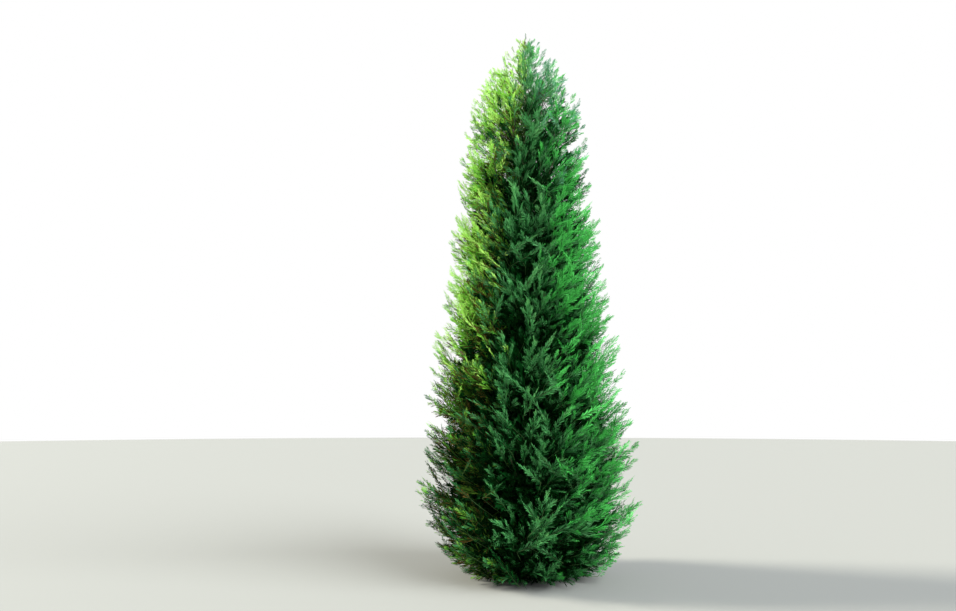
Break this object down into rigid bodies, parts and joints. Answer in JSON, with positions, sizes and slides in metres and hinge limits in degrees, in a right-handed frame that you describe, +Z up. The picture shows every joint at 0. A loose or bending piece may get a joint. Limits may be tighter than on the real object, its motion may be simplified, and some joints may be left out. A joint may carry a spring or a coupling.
{
  "type": "leyland cypress tree",
  "caption": "Whole young evergreen conifer, columnar and dense to the ground: a tapering trunk, short boughs and feathery masses of foliage that sweep out and up.",
  "frame": {"origin": "middle of the flat cut under the trunk, at ground level", "axes": "+Z up along the trunk, -Y towards the viewer of the picture, +X to that viewer's right"},
  "size_m": [2.3133, 2.3292, 6],
  "materials": {
    "bark": "rough, fibrous grey-brown bark",
    "foliage": "matt green scale leaves in feathery sprays"
  },
  "bodies": {
    "root": {"trunk": "bark", "bough_skirt_1": "bark", "bough_skirt_2": "bark", "bough_skirt_3": "bark", "bough_skirt_4": "bark", "bough_skirt_5": "bark", "bough_skirt_6": "bark", "bough_lower_1": "bark", "bough_lower_2": "bark", "bough_lower_3": "bark", "bough_lower_4": "bark", "bough_lower_5": "bark", "bough_lower_6": "bark", "bough_waist_1": "bark", "bough_waist_2": "bark", "bough_waist_3": "bark", "bough_waist_4": "bark", "bough_waist_5": "bark", "foliage_skirt_1": "foliage", "foliage_skirt_2": "foliage", "foliage_skirt_3": "foliage", "foliage_skirt_4": "foliage", "foliage_skirt_5": "foliage", "foliage_skirt_6": "foliage", "foliage_lower_1": "foliage", "foliage_lower_2": "foliage", "foliage_lower_3": "foliage", "foliage_lower_4": "foliage", "foliage_lower_5": "foliage", "foliage_lower_6": "foliage", "foliage_waist_1": "foliage", "foliage_waist_2": "foliage", "foliage_waist_3": "foliage", "foliage_waist_4": "foliage", "foliage_waist_5": "foliage", "foliage_middle_1": "foliage", "foliage_middle_2": "foliage", "foliage_middle_3": "foliage", "foliage_middle_4": "foliage", "foliage_middle_5": "foliage", "foliage_shoulder_1": "foliage", "foliage_shoulder_2": "foliage", "foliage_shoulder_3": "foliage", "foliage_shoulder_4": "foliage", "foliage_shoulder_5": "foliage", "foliage_upper_1": "foliage", "foliage_upper_2": "foliage", "foliage_upper_3": "foliage", "foliage_upper_4": "foliage", "foliage_crown_1": "foliage", "foliage_crown_2": "foliage", "foliage_crown_3": "foliage", "foliage_crown_4": "foliage", "foliage_top_1": "foliage", "foliage_top_2": "foliage", "foliage_top_3": "foliage", "foliage_leader": "foliage"}
  },
  "joints": []
}
